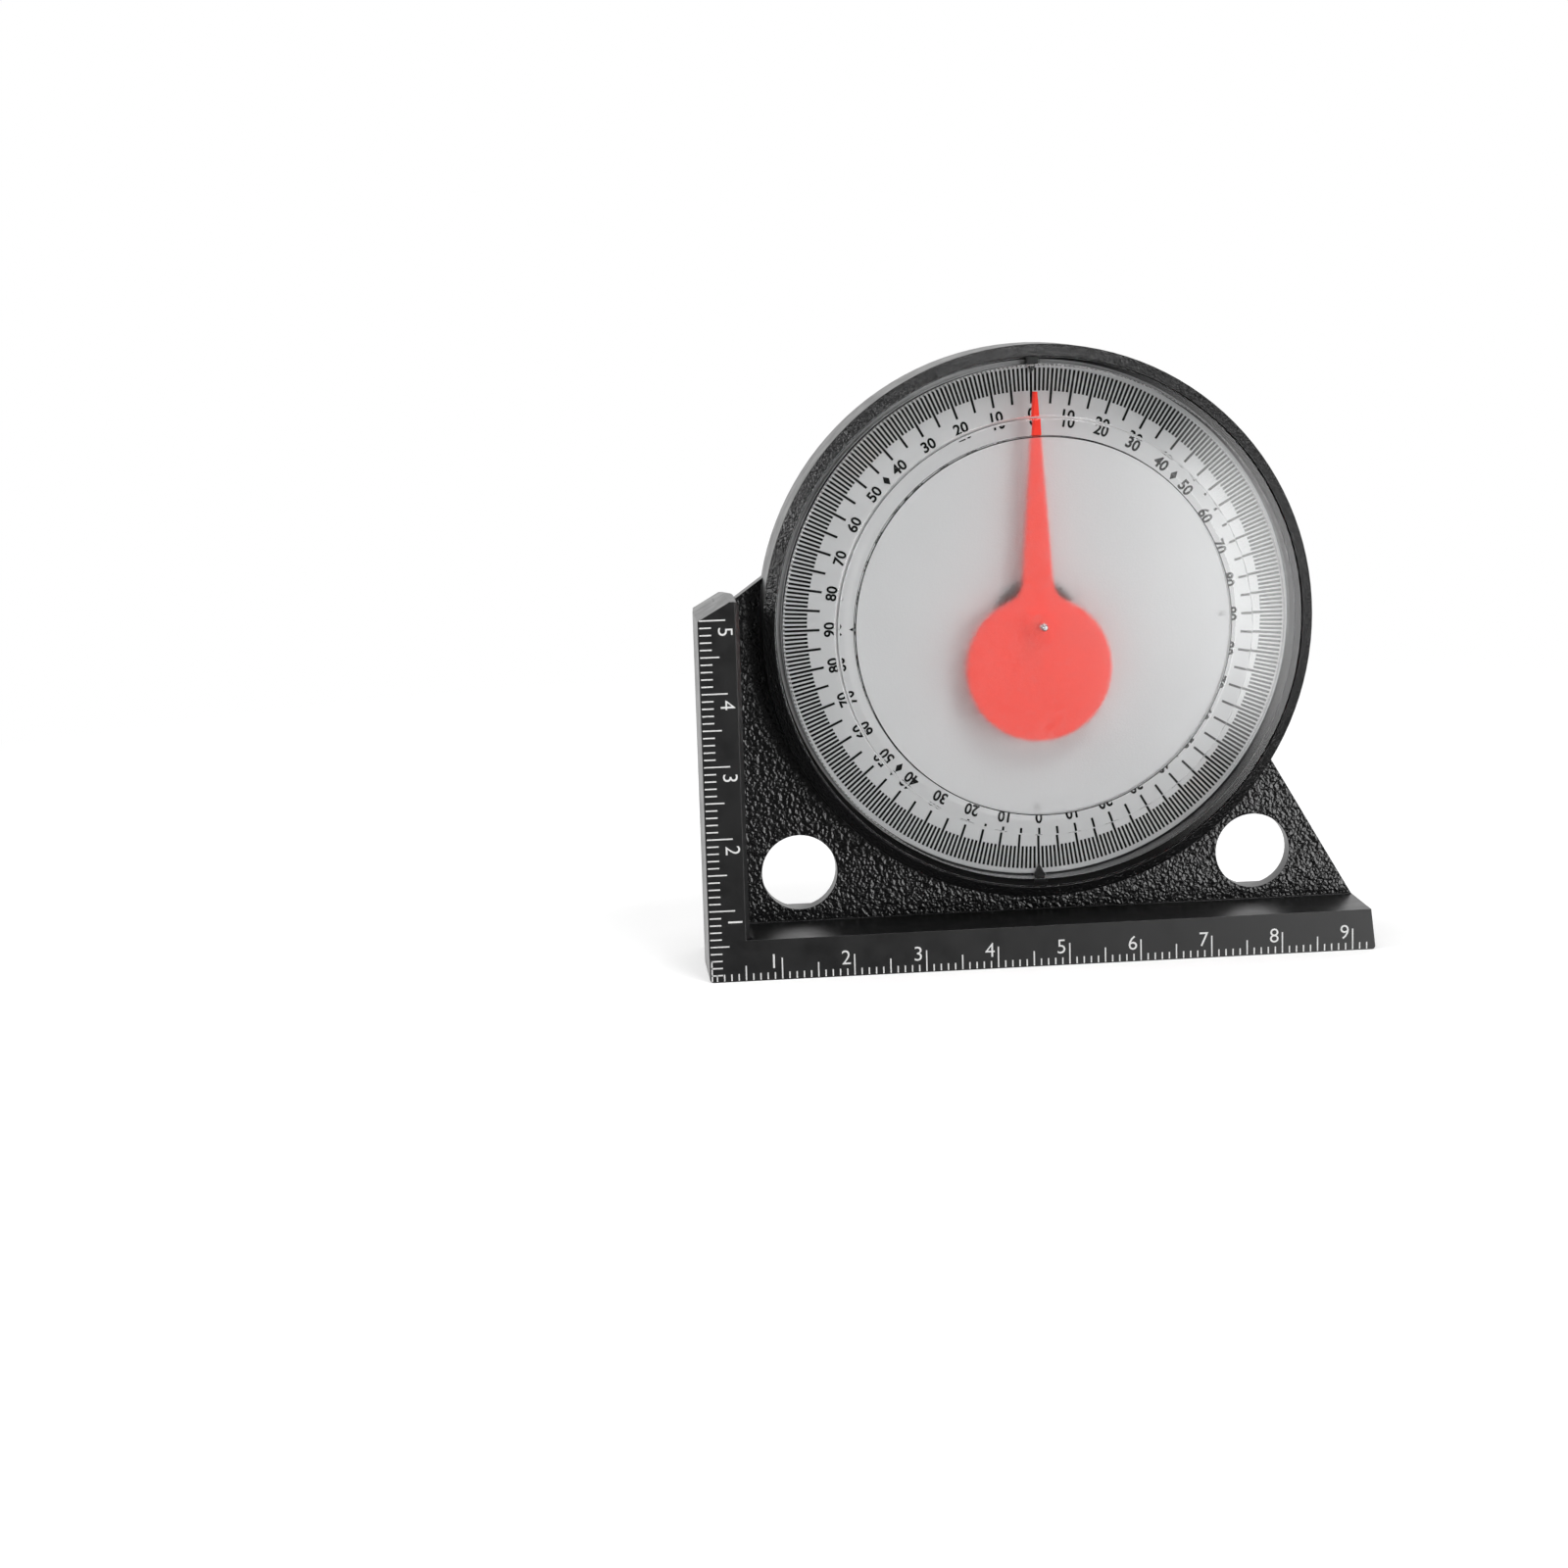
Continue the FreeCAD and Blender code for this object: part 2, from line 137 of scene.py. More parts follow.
def ramp(tree, value, low, high, fromLow, fromHigh):
    node = addNode(tree, "ShaderNodeMapRange", {
        "Value": value, "From Min": fromLow, "From Max": fromHigh, "To Min": low, "To Max": high})
    return node.outputs["Result"]


def colourMix(tree, factor, first, second):
    node = addNode(tree, "ShaderNodeMix", settings={"data_type": "RGBA"})
    for socket, value in ((node.inputs[0], factor), (node.inputs[6], first), (node.inputs[7], second)):
        if isinstance(value, bpy.types.NodeSocket):
            tree.links.new(value, socket)
        else:
            socket.default_value = value
    return node.outputs[2]


def noise(tree, place, scale, detail=2.0, rough=0.5):
    node = addNode(tree, "ShaderNodeTexNoise", {
        "Vector": place, "Scale": scale, "Detail": detail, "Roughness": rough})
    return node.outputs["Fac"]


def uneven(tree, place, scale, detail, between):
    # wanders between two values; nearly all of a noise lies between 0.3 and 0.7
    return ramp(tree, noise(tree, place, scale, detail), between[0], between[1], 0.3, 0.7)


def allOf(tree, tests):
    # 1 where every test is 1
    result = tests[0]
    for test in tests[1:]:
        result = calc(tree, "MULTIPLY", result, test)
    return result


def roundedEdge(tree, radius):
    return addNode(tree, "ShaderNodeBevel", {"Radius": radius * mm}, {"samples": 4}).outputs[0]


def objectPlace(tree):
    return addNode(tree, "ShaderNodeTexCoord").outputs["Object"]


def finishSurface(tree, shader):
    output = addNode(tree, "ShaderNodeOutputMaterial")
    tree.links.new(shader, output.inputs["Surface"])


def seenDirectly(tree):
    # 1 for what the camera sees, straight or through the lens, but not in a mirrored ray
    seen = addNode(tree, "ShaderNodeLightPath")
    through = calc(tree, "LESS_THAN", seen.outputs["Glossy Depth"], 0.5)
    through = calc(tree, "MULTIPLY", through, seen.outputs["Is Transmission Ray"])
    return calc(tree, "MAXIMUM", seen.outputs["Is Camera Ray"], through)


def addSky():
    world = bpy.data.worlds.new("paleStudio")
    world.use_nodes = True
    tree = world.node_tree
    tree.nodes.clear()
    direction = addNode(tree, "ShaderNodeTexCoord").outputs["Generated"]
    glow = studio["skyGlow"]
    for box in softBoxes.values():
        toward = Vector(box["toward"]).normalized()
        near = addNode(tree, "ShaderNodeVectorMath", {0: direction, 1: toward},
                       {"operation": "DOT_PRODUCT"})
        patch = addNode(tree, "ShaderNodeMapRange", {
            "Value": near.outputs["Value"],
            "From Min": math.cos(math.radians(box["gone"])),
            "From Max": math.cos(math.radians(box["full"])),
            "To Max": box["glow"]}, {"interpolation_type": "SMOOTHSTEP"})
        glow = calc(tree, "ADD", glow, patch.outputs["Result"])
    direct = seenDirectly(tree)
    strength = addNode(tree, "ShaderNodeMix", {0: direct, 2: glow, 3: 1.0}).outputs[0]
    sky = addNode(tree, "ShaderNodeBackground", {"Color": (1.0, 1.0, 1.0, 1.0), "Strength": strength})
    output = addNode(tree, "ShaderNodeOutputWorld")
    tree.links.new(sky.outputs[0], output.inputs["Surface"])
    bpy.context.scene.world = world


def floorMaterial():
    material, tree = freshMaterial("paleFloor")
    direct = seenDirectly(tree)
    place = objectPlace(tree)
    tone = uneven(tree, place, studio["floorGrain"], 2.0, studio["floorTone"])
    shade = colourMix(tree, tone, (0, 0, 0, 1), (1, 1, 1, 1))
    paper = addNode(tree, "ShaderNodeBsdfDiffuse", {"Color": shade})
    lift = calc(tree, "MULTIPLY", direct, studio["floorLift"])
    glow = addNode(tree, "ShaderNodeEmission", {"Strength": lift})
    both = addNode(tree, "ShaderNodeAddShader", {0: paper.outputs[0], 1: glow.outputs[0]})
    away = addNode(tree, "ShaderNodeVectorMath", {0: place}, {"operation": "LENGTH"})
    fade = ramp(tree, away.outputs["Value"], 0.0, 1.0, studio["fadeStart"], studio["fadeEnd"])
    fade = calc(tree, "MULTIPLY", fade, direct)
    white = addNode(tree, "ShaderNodeEmission", {"Strength": 1.0})
    faded = addNode(tree, "ShaderNodeMixShader", {0: fade, 1: both.outputs[0], 2: white.outputs[0]})
    # mirrored rays pass the floor, so the glossy faces show only the sky's soft boxes
    unseen = addNode(tree, "ShaderNodeBsdfTransparent")
    mirrored = addNode(tree, "ShaderNodeLightPath").outputs["Glossy Depth"]
    hidden = addNode(tree, "ShaderNodeMixShader", {
        0: calc(tree, "GREATER_THAN", mirrored, 0.5), 1: faded.outputs[0], 2: unseen.outputs[0]})
    finishSurface(tree, hidden.outputs[0])
    return material


def addFloor():
    half = studio["floorHalf"]
    mesh = bpy.data.meshes.new("floor")
    corners = [(-half, -half, 0.0), (half, -half, 0.0), (half, half, 0.0), (-half, half, 0.0)]
    mesh.from_pydata(corners, [], [(0, 1, 2, 3)])
    mesh.materials.append(floorMaterial())
    floor = bpy.data.objects.new("floor", mesh)
    bpy.context.scene.collection.objects.link(floor)


addCamera()
addLamps()
addSky()
addFloor()
bpy.context.scene.view_settings.view_transform = "Standard"
print("studio ready")


housingFinish = {
    "dark": (0.003, 0.003, 0.0032, 1.0),
    "light": (0.007, 0.007, 0.0075, 1.0),
    "wornHighlight": (0.070, 0.070, 0.072, 1.0),      # scuffed edges, lighter also as a painted highlight along them
    "roughness": (0.28, 0.38),
    "roughScale": 400.0,
    "grainSize": 0.60,       # mm
    "grainDepth": 0.13,      # mm
    "grainGloss": 0.14,      # the grain is this much shinier
    "grainBend": 0.8,
    "wrinkleFiner": 3.0,     # fine wrinkles, this many times smaller than the grain
    "wrinkleShare": 0.12,
    "satinScale": 2500.0,
    "satinDepth": 0.004,
    "patchScale": 90.0,
    "edgeRound": 0.12,
    "wornHighlightTurn": (0.80, 0.97),     # cosines of an edge's turn where the scuffed lightening with its painted highlight is full, and where it is gone
    "wornHighlightScale": 700.0,
    "wornHighlightPatches": (0.42, 0.62),
    "webFront": -1.7,        # mm, the grained web lies behind this plane
    "webLeft": -40.7,
    "webBottom": 6.1,
    "webFacing": 0.7,
    "bandSize": 0.30,        # finer grain on the rim's bevel
    "bandDepth": 0.15,
    "bandBack": -7.25,
    "bandInner": 36.4,
    "bandOuter": 38.2,
}


def leatherGrain(tree, place, size):
    # rounded wrinkles with finer ones riding on them
    look = housingFinish
    node = addNode(tree, "ShaderNodeTexNoise", {
        "Vector": place, "Scale": 1.0 / (size * mm), "Detail": 0.0, "Distortion": look["grainBend"]})
    fine = noise(tree, place, look["wrinkleFiner"] / (size * mm), 1.0)
    return calc(tree, "MULTIPLY_ADD", fine, look["wrinkleShare"], node.outputs["Fac"])


def webMask(tree, x, y, z):
    # the web between the beams, front and back
    look = housingFinish
    normal = addNode(tree, "ShaderNodeTexCoord").outputs["Normal"]
    facing = addNode(tree, "ShaderNodeSeparateXYZ", {0: normal}).outputs["Y"]
    return allOf(tree, [
        calc(tree, "GREATER_THAN", y, look["webFront"] * mm),
        calc(tree, "LESS_THAN", y, -look["webFront"] * mm),
        calc(tree, "GREATER_THAN", x, look["webLeft"] * mm),
        calc(tree, "GREATER_THAN", z, look["webBottom"] * mm),
        calc(tree, "GREATER_THAN", calc(tree, "ABSOLUTE", facing), look["webFacing"])])


def bandMask(tree, x, y, z):
    # the bevelled band round the drum
    look = housingFinish
    acrossX = calc(tree, "SUBTRACT", x, pivot.x)
    acrossZ = calc(tree, "SUBTRACT", z, pivot.z)
    squareX = calc(tree, "MULTIPLY", acrossX, acrossX)
    squareZ = calc(tree, "MULTIPLY", acrossZ, acrossZ)
    radius = calc(tree, "SQRT", calc(tree, "ADD", squareX, squareZ))
    return allOf(tree, [
        calc(tree, "LESS_THAN", y, look["bandBack"] * mm),
        calc(tree, "GREATER_THAN", radius, look["bandInner"] * mm),
        calc(tree, "LESS_THAN", radius, look["bandOuter"] * mm)])


def housingMaterial():
    look = housingFinish
    material, tree = freshMaterial("mouldedBlack")
    place = objectPlace(tree)
    axes = addNode(tree, "ShaderNodeSeparateXYZ", {0: place})
    x = axes.outputs["X"]
    y = axes.outputs["Y"]
    z = axes.outputs["Z"]
    inWeb = webMask(tree, x, y, z)
    onBand = bandMask(tree, x, y, z)
    grained = calc(tree, "MAXIMUM", inWeb, onBand)
    webGrain = calc(tree, "MULTIPLY", leatherGrain(tree, place, look["grainSize"]), look["grainDepth"])
    bandGrain = calc(tree, "MULTIPLY", leatherGrain(tree, place, look["bandSize"]), look["bandDepth"])
    depth = calc(tree, "MULTIPLY", webGrain, inWeb)
    depth = calc(tree, "MULTIPLY_ADD", bandGrain, onBand, depth)
    satin = noise(tree, place, look["satinScale"], 3.0)
    edge = roundedEdge(tree, look["edgeRound"])
    fineBump = addNode(tree, "ShaderNodeBump", {
        "Height": satin, "Distance": look["satinDepth"] * mm, "Normal": edge})
    bump = addNode(tree, "ShaderNodeBump", {
        "Height": depth, "Distance": mm, "Normal": fineBump.outputs[0]})
    patches = noise(tree, place, look["patchScale"], 3.0)
    shade = colourMix(tree, patches, look["dark"], look["light"])
    # lighter where the rounded edge turns away from the flat face, in patches: scuffed wear and a
    # painted highlight together
    facing = addNode(tree, "ShaderNodeNewGeometry").outputs["Normal"]
    turned = addNode(tree, "ShaderNodeVectorMath", {0: edge, 1: facing}, {"operation": "DOT_PRODUCT"})
    rubHighlight = ramp(tree, turned.outputs["Value"], 1.0, 0.0, look["wornHighlightTurn"][0], look["wornHighlightTurn"][1])
    rubHighlightPatches = noise(tree, place, look["wornHighlightScale"], 3.0)
    rubHighlightPatches = ramp(tree, rubHighlightPatches, 0.0, 1.0, look["wornHighlightPatches"][0], look["wornHighlightPatches"][1])
    rubHighlight = calc(tree, "MULTIPLY", rubHighlight, rubHighlightPatches)
    shade = colourMix(tree, rubHighlight, shade, look["wornHighlight"])
    rough = uneven(tree, place, look["roughScale"], 3.0, look["roughness"])
    rough = calc(tree, "MULTIPLY_ADD", grained, -look["grainGloss"], rough)
    shader = addNode(tree, "ShaderNodeBsdfPrincipled", {
        "Base Color": shade, "Roughness": rough, "Normal": bump.outputs[0], "Specular IOR Level": 0.5})
    finishSurface(tree, shader.outputs[0])
    return material


smallFinish = {
    "glossFiner": 2.3,        # times the scale of the tones
    "bumpFiner": 6.0,
}


def plainMaterial(name, first, second, roughness, scale, depth=0.0, metallic=0.0, glow=0.0,
                  edgeRound=0.0, gloss=0.5):
    # two close tones and an uneven gloss, for small pieces and prints
    material, tree = freshMaterial(name)
    place = objectPlace(tree)
    mixed = noise(tree, place, scale, 3.0)
    shade = colourMix(tree, mixed, first, second)
    rough = uneven(tree, place, scale * smallFinish["glossFiner"], 2.0, roughness)
    values = {"Base Color": shade, "Roughness": rough, "Metallic": metallic, "Specular IOR Level": gloss}
    if edgeRound:
        values["Normal"] = roundedEdge(tree, edgeRound)
    if depth:
        height = noise(tree, place, scale * smallFinish["bumpFiner"], 2.0)
        bumpValues = {"Height": height, "Distance": depth * mm}
        if edgeRound:
            bumpValues["Normal"] = values["Normal"]
        values["Normal"] = addNode(tree, "ShaderNodeBump", bumpValues).outputs[0]
    shader = addNode(tree, "ShaderNodeBsdfPrincipled", values)
    # painted light: the colour also shines by a glow of its own, which no lamp gives
    if glow:
        tree.links.new(shade, shader.inputs["Emission Color"])
        shader.inputs["Emission Strength"].default_value = glow
    finishSurface(tree, shader.outputs[0])
    return material


clearFinish = {
    "bend": 1.49,
    "chalk": (0.85, 0.85, 0.85, 1.0),         # the pale specks of the frost
    "speckRange": (0.35, 0.65),
    "lampShare": (0.93, 0.93, 0.93, 1.0),     # how much of the lamps' light it lets through
}


def clearMaterial(name, tint, roughness, depth, scale=180.0, gloss=0.5, haze=0.0):
    # bends light for the eye, and lets the lamps through to the dial; haze is the share of pale specks
    look = clearFinish
    material, tree = freshMaterial(name)
    place = objectPlace(tree)
    height = noise(tree, place, scale, 2.0)
    bump = addNode(tree, "ShaderNodeBump", {"Height": height, "Distance": depth * mm})
    glass = addNode(tree, "ShaderNodeBsdfPrincipled", {
        "Base Color": tint, "Roughness": roughness, "IOR": look["bend"],
        "Transmission Weight": 1.0, "Specular IOR Level": gloss, "Normal": bump.outputs[0]})
    specks = noise(tree, place, scale, 1.0)
    specks = ramp(tree, specks, 0.0, haze, look["speckRange"][0], look["speckRange"][1])
    chalk = addNode(tree, "ShaderNodeBsdfDiffuse", {"Color": look["chalk"]})
    surface = addNode(tree, "ShaderNodeMixShader", {0: specks, 1: glass.outputs[0], 2: chalk.outputs[0]})
    through = addNode(tree, "ShaderNodeBsdfTransparent", {"Color": look["lampShare"]})
    seen = addNode(tree, "ShaderNodeLightPath")
    lamp = calc(tree, "MAXIMUM", seen.outputs["Is Shadow Ray"], seen.outputs["Is Diffuse Ray"])
    both = addNode(tree, "ShaderNodeMixShader", {0: lamp, 1: surface.outputs[0], 2: through.outputs[0]})
    finishSurface(tree, both.outputs[0])
    return material


finishes = {
    "housing": housingMaterial(),
    "dial": plainMaterial(
        "dialPlastic", (0.64, 0.64, 0.65, 1), (0.70, 0.70, 0.71, 1), (0.45, 0.6), 300.0, depth=0.002),
    "ink": plainMaterial(
        "dialInk", (0.003, 0.003, 0.003, 1), (0.010, 0.010, 0.010, 1), (0.45, 0.6), 900.0, gloss=0.0),
    "rulerInk": plainMaterial(
        "rulerInk", (0.66, 0.66, 0.66, 1), (0.86, 0.86, 0.85, 1), (0.4, 0.6), 1500.0),
    # the pointer's red has a painted glow of its own
    "pointer": plainMaterial(
        "glowingRed", (0.82, 0.030, 0.016, 1), (0.88, 0.045, 0.026, 1), (0.45, 0.6), 500.0,
        depth=0.003, glow=0.23, gloss=0.15),
    "steel": plainMaterial(
        "turnedSteel", (0.55, 0.55, 0.56, 1), (0.70, 0.70, 0.71, 1), (0.2, 0.35), 2000.0, metallic=1.0),
    "brass": plainMaterial(
        "turnedBrass", (0.72, 0.50, 0.20, 1), (0.80, 0.60, 0.28, 1), (0.2, 0.35), 2000.0, metallic=1.0),
    "ferrite": plainMaterial(
        "groundFerrite", (0.03, 0.03, 0.033, 1), (0.07, 0.07, 0.072, 1), (0.4, 0.6), 700.0,
        depth=0.01, edgeRound=0.2),
    "zinc": plainMaterial(
        "zincPlate", (0.35, 0.35, 0.37, 1), (0.52, 0.52, 0.54, 1), (0.25, 0.4), 1200.0, metallic=1.0),
    "clear": clearMaterial("clearPlastic", (0.97, 0.985, 0.98, 1), 0.015, 0.002),
    "frosted": clearMaterial(
        "frostedPlastic", (0.95, 0.965, 0.96, 1), 0.30, 0.020, scale=4500.0, gloss=0.2, haze=0.085),
}
print("finishes ready")


def addPiece(name, mesh, body, finishNames, crease=12.0):
    # crease is the angle in degrees above which an edge stays crisp
    for finish in finishNames:
        mesh.materials.append(finishes[finish])
    mesh.shade_smooth()
    mesh.set_sharp_from_angle(angle=math.radians(crease))
    obj = bpy.data.objects.new(name, mesh)
    bpy.context.scene.collection.objects.link(obj)
    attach(obj, body)
    return obj


def meshFrom(bm, name):
    bmesh.ops.recalc_face_normals(bm, faces=bm.faces)
    mesh = bpy.data.meshes.new(name)
    bm.to_mesh(mesh)
    bm.free()
    return mesh


def softened(corners, arcSteps=10):
    # corners are (radius, height, rounding, zone); each rounded corner becomes a short arc
    line = []
    count = len(corners)
    for number, (r, h, rounding, zone) in enumerate(corners):
        here = Vector((r, h))
        if not rounding:
            line.append((r, h, zone))
            continue
        before = (Vector(corners[number - 1][:2]) - here).normalized()
        after = (Vector(corners[(number + 1) % count][:2]) - here).normalized()
        half = before.angle(after) / 2.0
        setback = rounding / math.tan(half)
        centre = here + (before + after).normalized() * (rounding / math.sin(half))
        start = here + before * setback - centre
        end = here + after * setback - centre
        turn = start.angle_signed(end)
        for step in range(arcSteps + 1):
            spoke = start.copy()
            spoke.rotate(Matrix.Rotation(-turn * step / arcSteps, 2))
            line.append((centre.x + spoke.x, centre.y + spoke.y, zone))
    return line


def lathe(profile, steps, name, axisX=None, axisZ=None):
    # profile holds (radius, height, zone) in mm; height is towards the front, zone is the face's finish
    axisX = pivot.x if axisX is None else axisX
    axisZ = pivot.z if axisZ is None else axisZ
    bm = bmesh.new()
    rings = []
    for r, h, _ in profile:
        turns = 1 if r < 1e-6 else steps
        ring = []
        for step in range(turns):
            angle = 2.0 * math.pi * step / steps
            out = r * mm
            place = (axisX + out * math.cos(angle), -h * mm, axisZ + out * math.sin(angle))
            ring.append(bm.verts.new(place))
        rings.append(ring)
    for number, ring in enumerate(rings):
        other = rings[(number + 1) % len(rings)]
        if len(ring) == 1 and len(other) == 1:
            continue
        for step in range(steps):
            after = (step + 1) % steps
            corners = []
            for vert in (ring[step % len(ring)], ring[after % len(ring)],
                         other[after % len(other)], other[step % len(other)]):
                if vert not in corners:
                    corners.append(vert)
            face = bm.faces.new(corners)
            face.material_index = profile[number][2]
    return meshFrom(bm, name)


def combined(name, base, others, operation):
    # the base mesh joined with, or cut by, other meshes
    holder = bpy.data.objects.new(name, base)
    bpy.context.scene.collection.objects.link(holder)
    helpers = []
    for mesh in others:
        helper = bpy.data.objects.new(name + "Helper", mesh)
        bpy.context.scene.collection.objects.link(helper)
        helpers.append(helper)
        change = holder.modifiers.new("change", "BOOLEAN")
        change.operation = operation
        change.solver = "EXACT"
        change.object = helper
    bpy.context.view_layer.update()
    graph = bpy.context.evaluated_depsgraph_get()
    result = bpy.data.meshes.new_from_object(holder.evaluated_get(graph))
    for obj in [holder] + helpers:
        bpy.data.objects.remove(obj)
    return result


def blockMesh(low, high, name):
    bm = bmesh.new()
    bmesh.ops.create_cube(bm, size=1.0)
    size = Vector(high) - Vector(low)
    middle = (Vector(high) + Vector(low)) / 2.0
    for vert in bm.verts:
        vert.co = Vector((vert.co.x * size.x, vert.co.y * size.y, vert.co.z * size.z)) + middle
    return meshFrom(bm, name)


dressed = {
    "front_housing": "housing",
    "rear_housing": "housing",
    "rear_bearing": "brass",
    "base_magnet_left": "ferrite",
    "base_magnet_right": "ferrite",
    "counterweight": "steel",
}
for nodeName, finish in dressed.items():
    node = frame["nodes"][nodeName]
    node.data.materials.clear()
    node.data.materials.append(finishes[finish])
print("housing dressed")


lensShape = {
    "outerRadius": 36.45,
    "edgeHeight": 8.3,         # where the sloped zone would meet the outer radius
    "slope": 14.4,             # degrees
    "lipWidth": 1.15,
    "lipStep": 0.55,
    "skirtWall": 1.05,
    "skirtFoot": 1.72,
    "wall": 2.6,
    "plateauRadius": 28.6,
    "plateauRise": 2.45,
    "plateauDraft": 4.5,       # degrees
    "windowRadius": 25.87,     # a recess from behind, frosted on its flat end
    "windowWall": 2.45,
    "windowShadeLine": 0.14,        # painted dark line round the frosted end, in place of the dark edge that bent light gives there
    "cornerRound": 0.08,       # inside, at the root of the skirt
    "footPale": 0.45,          # pale inner part of the skirt's foot
    "socketRadius": 0.37,
    "socketDepth": 0.8,
    "edgeRound": 0.30,
    "stepFootRound": 0.15,
    "lipRound": 0.15,
    "notchHalf": 1.0,          # notches in the skirt for the index wedges
    "notchTop": 3.5,
    "notchReach": (33.0, 38.0),
    "steps": 288,
}


def lensCorners():
    s = lensShape
    drop = math.tan(math.radians(s["slope"]))
    foot = s["edgeHeight"] + (s["outerRadius"] - s["plateauRadius"]) * drop
    top = foot + s["plateauRise"]
    wallLean = math.tan(math.radians(s["plateauDraft"]))
    stepTop = s["plateauRadius"] - s["plateauRise"] * wallLean
    lipRadius = s["outerRadius"] - s["lipWidth"]
    slopeFoot = s["edgeHeight"] + s["lipWidth"] * drop
    lip = slopeFoot - s["lipStep"]
    innerRadius = s["outerRadius"] - s["skirtWall"]
    innerCorner = s["edgeHeight"] + s["skirtWall"] * drop - s["wall"]
    recessFoot = s["edgeHeight"] + (s["outerRadius"] - s["windowRadius"]) * drop - s["wall"]
    window = top - s["windowWall"]
    edge = s["edgeRound"]
    lipEdge = s["lipRound"]
    # zones: 0 clear, 1 frosted, 2 pale foot, 3 dark edge, which round the window is a painted dark line
    return [
        (0.0, top, 0, 0),
        (stepTop, top, edge, 0),
        (stepTop + edge * wallLean, top - edge, 0, 1),
        (s["plateauRadius"] - edge * wallLean, foot + edge, 0, 0),
        (s["plateauRadius"], foot, s["stepFootRound"], 0),
        (lipRadius, slopeFoot, lipEdge, 0),
        (lipRadius, lip, lipEdge, 0),
        (s["outerRadius"], lip, lipEdge, 0),
        (s["outerRadius"], lip - 2.0 * lipEdge, 0, 3),
        (s["outerRadius"], s["skirtFoot"], 0, 3),
        (innerRadius + s["footPale"], s["skirtFoot"], 0, 2),
        (innerRadius, s["skirtFoot"], 0, 0),
        (innerRadius, innerCorner, s["cornerRound"], 0),
        (s["windowRadius"], recessFoot, lipEdge, 0),
        # the painted dark line round the frosted end
        (s["windowRadius"], window - s["windowShadeLine"], 0, 3),
        (s["windowRadius"] - s["windowShadeLine"], window, 0, 1),
        (s["socketRadius"], window, 0, 0),
        (s["socketRadius"], window + s["socketDepth"], 0, 0),
        (0.0, window + s["socketDepth"], 0, 0),
    ]


def lensMesh():
    s = lensShape
    base = lathe(softened(lensCorners()), s["steps"], "lensBase")
    for finish in ("clear", "frosted", "dial", "ink"):
        base.materials.append(finishes[finish])
    cuts = []
    for up in (-1.0, 1.0):
        zs = sorted(pivot.z + up * reach * mm for reach in s["notchReach"])
        low = (pivot.x - s["notchHalf"] * mm, -s["notchTop"] * mm, zs[0])
        high = (pivot.x + s["notchHalf"] * mm, 0.0, zs[1])
        cuts.append(blockMesh(low, high, "notch"))
    return combined("lens", base, cuts, "DIFFERENCE")


lensPiece = addPiece("dialLens", lensMesh(), "housing", [])
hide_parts("lens")
print("lens made")


dialShape = {
    "radius": 35.25,
    "hole": 5.8,
    "face": 2.6,
    "thickness": 0.9,
    "edgeRound": 0.05,
    "steps": 240,
}
dialPrint = {
    "inkHeight": 0.02,
    "inkSink": 0.01,          # the print reaches this far into the dial
    "outer": 34.55,
    "shortInner": 31.42,
    "longInner": 29.7,
    "tickWidth": 0.32,
    "longWidth": 0.33,
    "numberRadius": 28.28,
    "numberSize": 2.05,
    "numberWeight": 0.058,
    "arrowInner": 25.5,
    "arrowOuter": 26.6,
    "arrowWidth": 0.7,
    "arrowLine": 0.16,
    "diamondLong": 1.5,
    "diamondWide": 0.95,
}


def dialPoint(radius, degrees, height):
    # degrees run clockwise from the top, seen from the front
    angle = math.radians(degrees)
    out = radius * mm
    return Vector((pivot.x + out * math.sin(angle), -height * mm, pivot.z + out * math.cos(angle)))


def thinPatch(bm, outline, low, high):
    # a flat printed mark from (radius, sideways, degrees) points
    layers = []
    for height in (low, high):
        ring = []
        for radius, sideways, degrees in outline:
            angle = math.radians(degrees)
            point = dialPoint(radius, degrees, height)
            point.x += sideways * mm * math.cos(angle)
            point.z -= sideways * mm * math.sin(angle)
            ring.append(bm.verts.new(point))
        layers.append(ring)
    bm.faces.new(layers[1])
    bm.faces.new(list(reversed(layers[0])))
    count = len(outline)
    for number in range(count):
        after = (number + 1) % count
        bm.faces.new((layers[0][number], layers[0][after], layers[1][after], layers[1][number]))


def textMesh(words, size, weight, height):
    curve = bpy.data.curves.new("words", "FONT")
    curve.body = words
    curve.size = size * mm
    curve.align_x = "CENTER"
    curve.align_y = "CENTER"
    curve.offset = weight * mm
    curve.extrude = height * mm / 2.0
    curve.resolution_u = 3
    holder = bpy.data.objects.new("words", curve)
    bpy.context.scene.collection.objects.link(holder)
    bpy.context.view_layer.update()
    graph = bpy.context.evaluated_depsgraph_get()
    mesh = bpy.data.meshes.new_from_object(holder.evaluated_get(graph))
    bpy.data.objects.remove(holder)
    return mesh


def addBar(bm, inner, outer, half, degree, low, high):
    thinPatch(bm, [(inner, -half, degree), (outer, -half, degree),
                   (outer, half, degree), (inner, half, degree)], low, high)


